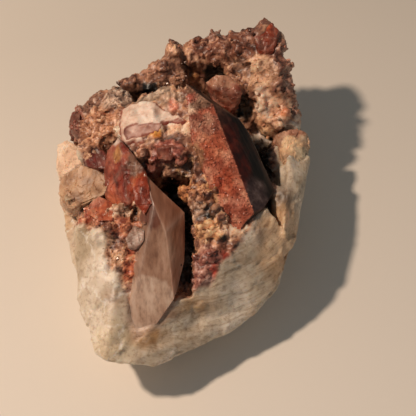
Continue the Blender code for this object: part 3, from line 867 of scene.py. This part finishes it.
RED_RUN = (0.45, -0.75, -0.45)  # the way its growth lines run
RED_LIFT = 1.3  # the red face's tints are shown this much lighter than written
GRAINY_RED = ("#743426", "#b06650", "#dca488")
RED_FACE_PATCHES = [
    ((8, 6, 39), (3.5, 4, 4), "#7a3424", "#b4664c", "#dca080"),
    ((11, -3, 35), (3, 4, 4), "#7e3424", "#b8644a", "#e0a080"),
    ((14.5, -9, 32), (3, 3, 4), "#6a2c20", "#a45c48", "#cc8e78"),
    ((5.4, 12, 41.5), (5, 3, 4), "#54281f", "#8e5546", "#c89880"),
    ((3.5, 3, 37), (2, 5, 4), "#5c3a2a", "#94684c", "#d0a47c"),
    ((7, -7, 33.5), (2.2, 4, 3), "#5c3a2a", "#94684c", "#d8ac80"),
    ((3, 20, 44), (7, 4.5, 4), "#583c30", "#80604f", "#aa8a76"),
    ((0.6, 18.8, 43), (3.0, 1.7, 3), "#94493a", "#b9695a", "#cf8c7c"),
    ((1.2, 15.6, 42), (2.6, 1.5, 2), "#b08a72", "#e0c2a9", "#f5dfca"),
]
DARK_RED = ("#080403", "#150c08", "#2a1a12")
DARK_FACE_PATCHES = [
    ((10, 15, 41), (3, 3.4, 4), "#2c140e", "#523026", "#7e5848"),
    ((12.5, 8, 37.5), (3.0, 6, 4), "#2e0d09", "#54190f", "#823424"),
    ((15.6, 0, 34.5), (3.0, 7, 4), "#2e0d09", "#5c1c12", "#8a3626"),
    ((20, -5, 31), (5, 5.5, 4), "#33262a", "#5a4646", "#8f7a76"),
]

# Quartz that is dense with iron: nearly opaque, with a glassy skin.
iron_red_quartz = quartz(
    "iron_red_quartz", 0.5, {"Detail": 4.0, "Roughness": 0.7},
    stops=[(0.36, "#8c7468"), (0.5, "#dcd0c8"), (0.62, "#ffffff")], share=0.6,
    values={"Roughness": 0.3, "Specular IOR Level": 0.2},
)

red_made = fine_hull(
    RED_POINT_CORNERS, grow=0.3, spacing=0.45, chip=0.3, seed=37, run=RED_RUN, line_height=0.07
)
red_points, red_faces, red_ways, to_edge = red_made
mottle = np.clip(0.5 + 0.6 * layered_noise(red_points, 2.4, 39, 4), 0, 1)
left_tint = laid_over(between(GRAINY_RED, mottle), red_points, RED_FACE_PATCHES, mottle)
left_tint = RED_LIFT * left_tint
right_tint = laid_over(between(DARK_RED, mottle), red_points, DARK_FACE_PATCHES, mottle, blur=2.2)
right_side = faded(red_ways[:, 0] - 0.35, 0.1)
red_tint = left_tint + right_side[:, None] * (right_tint - left_tint)
pits, _, _ = broken_facets(red_points + 0.6 * wander_at(red_points, 2.0, 43), 1.3, 45)
left_only = (1 - right_side) * faded(to_edge - 0.4, 0.6)
red_points += red_ways * (0.3 * pits * left_only)[:, None]
crystal("red_point", (red_points, red_faces, red_ways, to_edge), red_tint, "#a87868", iron_red_quartz)

# --- Small red crystals --------------------------------------------------------------------
# Shorter points, slabs and lumps stand round the two large ones. Their iron is spread
# unevenly, so that they turn from pale pink and orange to blood red.

LEFT_SHARD_CORNERS = [
    (-29.3, 12.5, 30), (-25.3, 11.8, 31), (-21.9, 9.5, 31), (-20.5, 4, 31), (-23.3, 4.6, 30.5),
    (-26.7, 5.9, 29.5), (-28.5, 9.2, 29), (-29, 12, 24), (-20, 10, 24), (-20, 5, 24),
    (-27, 5, 23),
]
GLASSY_BAND_CORNERS = [
    (-32.9, 22.5, 27.5), (-32.2, 25.4, 28), (-29.8, 26, 29), (-29.6, 22.3, 30.2),
    (-29.4, 18.2, 30.4), (-29, 14.6, 30), (-31.5, 17.5, 28), (-33, 20.5, 26), (-33, 24, 22),
    (-29, 15, 24), (-28, 25, 24),
]
VALLEY_POINT_CORNERS = [
    (6.2, 33.5, 31), (9.0, 35.0, 32), (12.5, 35.0, 32), (15.5, 33.0, 31), (16.3, 30.5, 30),
    (14.5, 27.5, 27), (13.0, 28.5, 28), (11.0, 30.0, 31), (8.0, 31.5, 31), (16, 30, 18),
    (12, 26, 18), (8, 34, 20), (14, 34, 18),
]
BACK_POINT_CORNERS = [
    (19.6, 47.5, 37.5), (22.6, 50.3, 38), (25.5, 49.4, 38.2), (27.4, 47.0, 37.5),
    (26.4, 43.4, 38.4), (25.6, 40.8, 36.6), (23.2, 40.0, 36.6), (21.0, 41.0, 36.6),
    (20.0, 44.4, 38.4), (20, 48, 28), (23, 50, 28), (27, 47, 28), (26, 40, 28), (21, 40, 28),
]
RED_FLAME_CORNERS = [
    (-12.5, -2, 36.6), (-9.6, -1.5, 36.9), (-8.1, -9.6, 35.4), (-10.2, -12.4, 34),
    (-12.8, -9.5, 35.1), (-13.4, -5, 36.2), (-9.5, -3, 30), (-9.5, -10, 30), (-12, -6, 30),
]
ORANGE_SLAB_CORNERS = [
    (-26.2, -5.6, 28.6), (-23, -3.4, 29.4), (-18.9, -6, 30.8), (-17.6, -9.8, 31.8),
    (-18.8, -13, 32), (-22.9, -12.2, 30.6), (-26, -9, 28.8), (-24, -7, 25), (-20, -10, 25),
]
PALE_FLAKE_CORNERS = [
    (-15.4, -17.6, 31), (-12.9, -13.8, 31.8), (-10.2, -15.6, 32.3), (-10.1, -18.3, 31.3),
    (-12.3, -21, 29.9), (-14.6, -20.4, 30), (-12.5, -17.5, 26), (-13.5, -18, 26),
]
SMALL_RED_POINTS = {
    "left_red_point": (LEFT_RED_CORNERS, 0.35),
    "left_shard": (LEFT_SHARD_CORNERS, 0.2),
    "glassy_band": (GLASSY_BAND_CORNERS, 0.1),
    "valley_point": (VALLEY_POINT_CORNERS, 0.35),
    "back_point": (BACK_POINT_CORNERS, 0.1),
    "middle_red_lump": (lump_corners((-4.6, 5.9, 36.4), (4.4, 2.6, 2.6), 401), 0.1),
    "inner_red_lump": (lump_corners((-0.8, 4.6, 35.6), (2.4, 2.4, 2.4), 402), 0.1),
    "lower_red_lump": (lump_corners((-8.4, 3.2, 31.8), (2.6, 2.4, 2.8), 403), 0.1),
    "brown_lump": (lump_corners((-11.3, 6.3, 35.8), (2.3, 2.2, 2.4), 404), 0.1),
    "red_flame": (RED_FLAME_CORNERS, 0.1),
    "orange_slab": (ORANGE_SLAB_CORNERS, 0.1),
    "pale_flake": (PALE_FLAKE_CORNERS, 0.1),
}
SMALL_RED_LIFT = 1.25
SMALL_RED = ("#5c241c", "#a05844", "#d09a88")
SMALL_RED_PATCHES = [
    ((-16.3, 2, 35), (2.6, 9, 6), "#541a12", "#8c3626", "#b46a54"),
    ((-12.4, 2, 35), (2.6, 9, 6), "#4e2e24", "#7a5342", "#a88470"),
    ((-17.7, 5.7, 36.5), (1.3, 2.0, 2.4), "#9a6238", "#c08c58", "#d8ae7c"),
    ((-17.5, 9.8, 37), (1.9, 1.9, 2), "#7d6456", "#b49c90", "#dccabe"),
    ((-19.8, -3, 31), (1.6, 4, 3), "#8a3a26", "#b45c42", "#d48c70"),
    ((-25, 8.5, 30), (5, 5, 6), "#35100d", "#6a2620", "#94483e"),
    ((-28.8, 10.5, 29.5), (1.2, 3, 3), "#4a3a34", "#80706a", "#b4a8a2"),
    ((10.5, 33.5, 32), (6.5, 2.6, 3), "#885a48", "#bc8c72", "#dcb49c"),
    ((12.5, 30, 29), (5, 2.4, 3), "#62301f", "#925846", "#b8806a"),
    ((24, 45, 37), (6, 8, 6), "#582418", "#8c402c", "#b0644c"),
    ((22.8, 48.4, 38.5), (2.4, 2.6, 3), "#9a3c24", "#c45c3c", "#e08a66"),
    ((-31, 20, 28), (4, 8, 6), "#4a241c", "#6e4034", "#9a7464"),
    ((-11.3, 6.3, 36), (3, 3, 4), "#5c3c2e", "#8d6450", "#b89078"),
    ((-8.4, 3.2, 31.8), (3.4, 3.4, 4), "#3a1411", "#642a24", "#8f5a4c"),
    ((-10.4, -6.4, 35), (4.6, 7, 4), "#6e2816", "#a8482c", "#c87850"),
    ((-22, -8.4, 30), (6, 6, 4), "#8a4028", "#c06c4c", "#e09c78"),
    ((-24.4, -5.6, 29), (3, 2.4, 3), "#8a4434", "#c07c66", "#dca890"),
    ((-12.6, -17.4, 31), (4, 4, 4), "#7c6458", "#a88e80", "#d0bcb0"),
]

# Red quartz: partly see-through, streaked along its length.
red_quartz = quartz(
    "red_quartz", 0.9, {"Detail": 6.0, "Roughness": 0.7, "Distortion": 0.6},
    stops=[(0.34, "#7a5a50"), (0.5, "#e4d4cc"), (0.64, "#ffffff")], share=0.7,
    values={
        "Roughness": 0.32, "Specular IOR Level": 0.3, "Transmission Weight": 0.15,
        "Subsurface Weight": 0.3, "Subsurface Radius": (1.0, 0.4, 0.3),
        "Subsurface Scale": 1.5 * MM,
    },
    drawn_out={"Rotation": (0.5, 0.0, 0.1), "Scale": (1.0, 0.3, 1.0)}, relief=(0.6, 0.3),
)

for number, (name, (corners, grow)) in enumerate(SMALL_RED_POINTS.items()):
    made_points, faces, ways, to_edge = fine_hull(
        corners, grow, spacing=0.5, chip=0.8, seed=51 + number, wave=0.25
    )
    breaks, _, _ = broken_facets(made_points + wander_at(made_points, 2.5), 2.2, 51 + number)
    made_points += ways * (0.2 * breaks)[:, None]
    mottle = np.clip(0.5 + 0.6 * layered_noise(made_points, 2.2, 61 + number, 4), 0, 1)
    tint = laid_over(between(SMALL_RED, mottle), made_points, SMALL_RED_PATCHES, mottle)
    made = (made_points, faces, ways, to_edge)
    crystal(name, made, SMALL_RED_LIFT * tint, "#d8b4a2", red_quartz)

# --- Broken stubs --------------------------------------------------------------------------
# On the left and the right stand stumps of pale crystals that broke off long ago. They
# are wrinkled and dull all over, like worn sugar.

STUB_LIFT = 1.15
STUB = ("#8c6a52", "#bf9a7e", "#dcbc9e")
STUB_PATCHES = [
    ((-27, 1, 28), (9, 7, 9), "#7a563f", "#b08a6c", "#cdaa88"),
    ((-34, 15, 20), (7, 9, 12), "#b4907a", "#dcbca0", "#ecdccb"),
    ((31, 16, 21), (7, 9, 10), "#8c7058", "#c29e7e", "#e4c8a8"),
    ((30.6, 16, 24), (3.6, 3.4, 4), "#b8906c", "#e0ba92", "#f8deba"),
    ((30.5, 21.3, 23.5), (5.5, 1.6, 3), "#844c38", "#b07a60", "#d2a488"),
    ((27, 20, 21), (1.6, 4, 5), "#6a4030", "#9c7058", "#c09a80"),
    ((33, 13, 18), (4, 5, 6), "#8e7e68", "#b8a488", "#d8c8ac"),
]

# Worn quartz: dull and cloudy, creased with dirt.
worn_quartz = quartz(
    "worn_quartz", 1.0, {"Detail": 5.0, "Roughness": 0.7, "Distortion": 1.2},
    stops=[(0.34, "#a08672"), (0.48, "#ffffff")], share=0.6,
    values={
        "Roughness": 0.45, "Subsurface Weight": 0.25, "Subsurface Radius": (1.0, 0.6, 0.4),
        "Subsurface Scale": 1.5 * MM,
    },
    relief=(0.5, 0.3),
)

for number, (name, corners) in enumerate(STUBS.items()):
    made_points, faces, ways, to_edge = fine_hull(
        corners, grow=0.1, spacing=0.5, chip=1.0, seed=71 + number, wave=0.35
    )
    bent = stretched(made_points + 2.0 * wander_at(made_points, 6.0), (0.6, 0.8, 0), 2.5)
    wrinkles, _, _ = broken_facets(bent, 1.6, 74 + number)
    made_points = made_points + ways * (0.35 * wrinkles)[:, None]
    mottle = np.clip(0.5 + 0.5 * layered_noise(made_points, 3.0, 77 + number, 4), 0, 1)
    tint = laid_over(between(STUB, mottle), made_points, STUB_PATCHES, mottle)
    made = (made_points, faces, ways, to_edge + 0.2)
    crystal(name, made, STUB_LIFT * tint, "#ecd8c2", worn_quartz)

# --- Milky break ---------------------------------------------------------------------------
# On top, behind the two large crystals, a flake has broken off and left a milky white scar
# with a thin dark red rim, where the iron coating ends.

MILKY_SCAR = [
    (-17.4, 11.5), (-18.1, 16.5), (-17.5, 20), (-15.2, 21.8), (-12.1, 21.8), (-9.3, 20.8),
    (-7, 19.6), (-4.6, 18.2), (-2.3, 16.6), (1.2, 14.4), (0.2, 13.4), (-3.1, 13.8),
    (-5.3, 13.6), (-5.5, 11.9), (-10.7, 10.4), (-10.7, 8.7), (-16.2, 9),
]
SCAR_STEP = [
    (-16.6, 12), (-14.1, 13.9), (-10, 13.4), (-6.4, 13.7), (-5.8, 14.6), (-3.1, 14.7),
    (0.7, 14), (-3, 12), (-6, 10), (-10.7, 9.8), (-15.6, 10.4),
]
MILKY = ("#c8a08c", "#e2c4b0", "#f6e6d8")
ROSE = ("#7a4a42", "#b58476", "#dcb8aa")
COATING_RIM = ("#5c1c12", "#8c3422", "#b06048")


def skin_over(outline, spacing, sink):
    """A closed thin skin over the rock inside an outline: points, faces, depth inside."""
    ring = np.array(outline)
    low = ring.min(axis=0) - 1
    high = ring.max(axis=0) + 1
    across = np.arange(low[0], high[0], spacing)
    along = np.arange(low[1], high[1], spacing)
    spots = np.array([(x, y, 0.0) for y in along for x in across])
    warped = spots + 0.5 * wander_at(spots, 1.6)
    depth = depth_inside(warped, outline)
    for spot in spots:
        hit = rock_tree.ray_cast(Vector((spot[0], spot[1], 60)), Vector((0, 0, -1)))[0]
        spot[2] = hit[2] if hit else 0
    width = len(across)
    cells = [
        (row * width + column, row * width + column + 1,
         (row + 1) * width + column + 1, (row + 1) * width + column)
        for row in range(len(along) - 1) for column in range(width - 1)
    ]
    cells = [cell for cell in cells if min(depth[list(cell)]) > -0.4]
    bm = bmesh.new()
    top = {n: bm.verts.new(spots[n]) for n in sorted({n for cell in cells for n in cell})}
    for cell in cells:
        bm.faces.new([top[n] for n in cell])
    order = list(top)
    for _ in range(12):
        bmesh.ops.smooth_vert(bm, verts=bm.verts, factor=0.5, use_axis_z=True)
    extruded = bmesh.ops.extrude_face_region(bm, geom=bm.faces[:])["geom"]
    for vert in [v for v in extruded if isinstance(v, bmesh.types.BMVert)]:
        vert.co.z -= sink
    bmesh.ops.reverse_faces(bm, faces=[f for f in extruded if isinstance(f, bmesh.types.BMFace)])
    bmesh.ops.recalc_face_normals(bm, faces=bm.faces)
    bm.verts.index_update()
    top_rows = np.array([top[n].index for n in order])
    depths = np.full(len(bm.verts), -9.0)
    depths[top_rows] = depth[order]
    skin_points, skin_faces = mesh_lists(bm)
    return skin_points, sorted(skin_faces), depths  # extruding leaves them in any order


# Milky quartz: white with countless tiny bubbles, so that light goes a little way in.
milky_quartz = quartz(
    "milky_quartz", 0.6, {"Detail": 4.0, "Roughness": 0.7},
    stops=[(0.36, "#e0c8bc"), (0.5, "#ffffff")], share=0.6,
    values={
        "Roughness": 0.5, "Subsurface Weight": 0.3, "Subsurface Radius": (1.0, 0.6, 0.5),
        "Subsurface Scale": 1.5 * MM,
    },
)

scar_points, scar_faces, scar_depth = skin_over(MILKY_SCAR, spacing=0.3, sink=1.2)
shown = scar_depth > -5
ripples = layered_noise(stretched(scar_points, (1, -0.3, 0), 3.0), 2.4, 81)
ripples += 0.5 * layered_noise(stretched(scar_points, (1, -0.3, 0), 4.0), 0.9, 82)

# The skin stands about a millimetre proud and dips under the rock at its edge. Part of it
# lies one step lower.
below_step = faded(depth_inside(scar_points + 0.5 * wander_at(scar_points, 1.6), SCAR_STEP), 0.5)
lift = 0.9 + 0.2 * ripples - 0.4 * below_step
lift = np.where(shown, lift * faded(scar_depth - 0.4, 0.8) - 0.5 * faded(-scar_depth, 0.6), 0)
scar_points[:, 2] += lift
mottle = np.clip(0.6 + 0.6 * layered_noise(scar_points, 2.4, 83, 4), 0, 1)
tint = between(MILKY, mottle)
tint += below_step[:, None] * (between(ROSE, mottle) - tint)
rim = np.maximum(
    faded(0.4 - np.abs(scar_depth - 0.15), 0.3), faded(0.3 - np.abs(below_step - 0.5), 0.3)
)
tint += 0.9 * rim[:, None] * (between(COATING_RIM, mottle) - tint)
milky_scar = new_object("milky_scar", scar_points, scar_faces, milky_quartz)
keep_tint(milky_scar.data, tint)
milky_scar.data.shade_smooth()
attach(milky_scar, "root")

# --- Druse and crusts ----------------------------------------------------------------------
# Small quartz crystals and iron-stained grains grew over the pocket last of all. Each crust
# is one mesh of seeded crystals, set in the rock at their feet and turned every way, and
# each grain takes its colour from the rock that it sits on: its stain and its painted shade.

GRAIN_LIFT = 1.1  # how much lighter grains are than the rock, on the whole
GRAIN_SPREAD = 0.46  # and how much they differ from one another
ROUGH_FOOT = 0.15  # how far grains stray from the middle of the rock's small faces

# Outlines as seen from above. The first goes round two hollows full of crumbs, one on each
# side of the clear point.
CRUMBLY = [
    (-31, -4), (-19, -4), (-9, -8), (-12, -17), (-12, -31), (-15, -31), (-19, -25), (-21, -20),
    (-26, -12), (-31, -9), (-31, -4), (-6, 11), (6, 10), (11, -8), (17, -12), (18, -15),
    (10, -26), (5, -29), (2, -13), (0, 1), (-2, 6), (-6, 11),
]
BARE_QUARTZ = [
    (-18, 18), (-17, 24), (-14, 27), (-9, 26), (-4, 24), (1, 23), (2, 14), (-3, 13), (-7, 11),
    (-13, 8), (-18, 10),
]
BACK_POINT_FOOT = [(19.4, 40), (19.2, 49), (22, 53), (28, 51), (28.5, 44), (27, 39.5), (22, 38.8)]


def grain_shapes(count, seed, height=1.0):
    """Small angular grains, each the hull of a few points."""
    rng = np.random.default_rng(seed)
    shapes = []
    for _ in range(count):
        corners = unit(rng.normal(size=(7, 3)))
        corners[:, 2] *= height
        shape, faces = mesh_lists(hull_of(corners))
        shapes.append((shape, np.array(faces)))
    return shapes


def prism_corners(foot, tip, radius, roll, tips):
    """The corners of a six-sided quartz point, from its foot to its uneven tip."""
    foot, tip = Vector(foot), Vector(tip)
    axis = (tip - foot).normalized()
    side = axis.orthogonal().normalized()
    other = axis.cross(side)
    corners = [tip]
    for number in range(6):
        angle = math.radians(roll + 60 * number)
        out = (side * math.cos(angle) + other * math.sin(angle)) * radius
        corners += [foot + out, tip + out - axis * radius * tips[number]]
    return corners


def point_shapes(count, seed):
    """Small six-sided quartz points with uneven tips, standing on their broken feet."""
    rng = np.random.default_rng(seed)
    shapes = []
    for _ in range(count):
        tips = rng.uniform(0.5, 1.5, 6)
        corners = prism_corners((0, 0, -1), (0, 0, 2.2), 0.8, rng.uniform(0, 60), tips)
        corners = [Vector(c) + Vector(rng.normal(size=3)) * 0.06 for c in corners]
        shape, faces = mesh_lists(hull_of(corners))
        shapes.append((shape, np.array(faces)))
    return shapes


def face_samples(points, faces, tint):
    """The middle, the way out, the size and the tint of each face of a mesh."""
    corner_rows = np.array([list(face)[:3] for face in faces])
    last = np.array([list(face)[-1] for face in faces])
    a, b, c = (points[corner_rows[:, n]] for n in range(3))
    cross = np.cross(b - a, c - a)
    area = np.linalg.norm(cross, axis=1) / 2 * np.where(corner_rows[:, 2] == last, 1, 2)
    ways = cross / (np.linalg.norm(cross, axis=1)[:, None] + 1e-12)
    return (a + b + c) / 3, ways, area, tint[corner_rows[:, 0]]


def grow_crust(name, ground, share, per_mm2, sizes, sink, lean, shapes, seed):
    """Sets small crystals on the ground, thicker where share is higher, as one mesh."""
    rng = np.random.default_rng(seed)
    middles, ways, areas, tints = ground
    weights = areas * share
    count = int(weights.sum() * per_mm2)
    picks = rng.choice(len(middles), count, p=weights / weights.sum())
    spots = middles[picks] + rng.normal(size=(count, 3)) * ROUGH_FOOT
    up = unit(ways[picks] + rng.normal(size=(count, 3)) * lean)
    side = unit(np.cross(up, rng.normal(size=(count, 3))))
    other = np.cross(up, side)
    size = sizes[0] * (sizes[1] / sizes[0]) ** (rng.uniform(size=count) ** 1.6)
    kinds = rng.integers(len(shapes), size=count)
    spread = np.exp(rng.normal(size=(count, 1)) * GRAIN_SPREAD)
    own = kept_hue(tints[picks] * spread * GRAIN_LIFT)
    all_points = []
    all_faces = []
    all_tints = []
    first = 0
    for kind, (shape, faces) in enumerate(shapes):
        mine = np.flatnonzero(kinds == kind)
        body = shape[None] * size[mine][:, None, None]
        placed = spots[mine][:, None] + body[..., :1] * side[mine][:, None]
        placed += body[..., 1:2] * other[mine][:, None]
        placed += (body[..., 2:] - sink * size[mine][:, None, None]) * up[mine][:, None]
        all_points.append(placed.reshape(-1, 3))
        starts = first + np.arange(len(mine)) * len(shape)
        all_faces.append((faces[None] + starts[:, None, None]).reshape(-1, 3))
        all_tints.append(np.repeat(own[mine], len(shape), axis=0))
        first += len(mine) * len(shape)
    crust_points = np.concatenate(all_points)
    crust_points[:, 2] = np.maximum(crust_points[:, 2], 0.05)
    made = new_object(name, crust_points, np.concatenate(all_faces).tolist(), stained_grains)
    keep_tint(made.data, np.concatenate(all_tints))
    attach(made, "root")


# Stained grains: each is a tiny glassy crystal under a thin film of iron oxide.
stained_grains = quartz(
    "stained_grains", 0.4, {"Detail": 3.0, "Roughness": 0.6},
    stops=[(0.35, "#b09484"), (0.55, "#ffffff")], share=0.7,
    values={"Roughness": 0.26, "Specular IOR Level": 0.5},
)

# Grains grow in patches on the stained top, where it faces up: off the bare milky quartz,
# and clear of the clear point and of the back point's foot.
rock_ground = face_samples(points, [p.vertices[:] for p in rock_mesh.polygons], rock_tint)
rock_spots, rock_ways = rock_ground[:2]
rock_ragged = rock_spots + 1.2 * wander_at(rock_spots, 3.0)
open_rock = faded(rock_spots[:, 2] - 15, 4.0) * faded(rock_ways[:, 2] + 0.2, 0.4)
open_rock *= faded(depth_inside(rock_ragged, STAINED_TOP) - 0.5, 1.0)
open_rock *= 1 - faded(depth_inside(rock_ragged, BARE_QUARTZ), 1.0)
open_rock *= 1 - faded(depth_inside(rock_spots, BACK_POINT_FOOT), 1.0)
open_rock *= faded(hull_gap(rock_spots, CLEAR_POINT_CORNERS) - 0.9, 0.8)
open_rock *= 0.12 + 0.88 * faded(layered_noise(rock_spots, 5.0, 98) + 0.1, 0.3)

# The red point is coated on its left face, except at its back end.
red_ground = face_samples(red_points, red_faces, red_tint)
first_corners = np.array([face[0] for face in red_faces])
red_ragged = red_ground[0] + 0.8 * wander_at(red_ground[0], 2.0)
red_left = (red_ways[first_corners, 0] < 0.3) * faded(20 - red_ragged[:, 1] + red_ragged[:, 0], 6.0)

# Points stand on the back and right ridges, crumbs lie in the hollows, and a fine crust
# covers the rest, in two meshes.
grains = grain_shapes(14, 91)
lumpy = grain_shapes(12, 92, 0.8)
little_points = point_shapes(12, 93)
ridge_share = faded(depth_inside(rock_ragged, BACK_AND_RIGHT_RIDGE), 1.5)
ridges = open_rock * ridge_share
open_rock *= 1 - 0.8 * ridge_share
crumbly = open_rock * faded(depth_inside(rock_ragged, CRUMBLY), 1.5)
left_half = faded(2 - rock_ragged[:, 0] - 0.5 * (rock_ragged[:, 1] - 20), 2.0)
for name, share, seed in (("left", left_half, 94), ("right", 1 - left_half, 99)):
    grow_crust(
        name + "_fine_crust", rock_ground, open_rock * share, per_mm2=4.4, sizes=(0.08, 0.26),
        sink=0.3, lean=0.6, shapes=grains, seed=seed,
    )
grow_crust(
    "ridge_druse", rock_ground, ridges, per_mm2=0.12, sizes=(0.3, 0.85), sink=0.7, lean=0.3,
    shapes=little_points, seed=101,
)
grow_crust(
    "crumbs", rock_ground, crumbly, per_mm2=0.9, sizes=(0.15, 0.6), sink=0.4, lean=0.5,
    shapes=lumpy, seed=96,
)
grow_crust(
    "red_coat", red_ground, red_left, per_mm2=7.5, sizes=(0.08, 0.3), sink=0.3, lean=0.5,
    shapes=grains, seed=97,
)
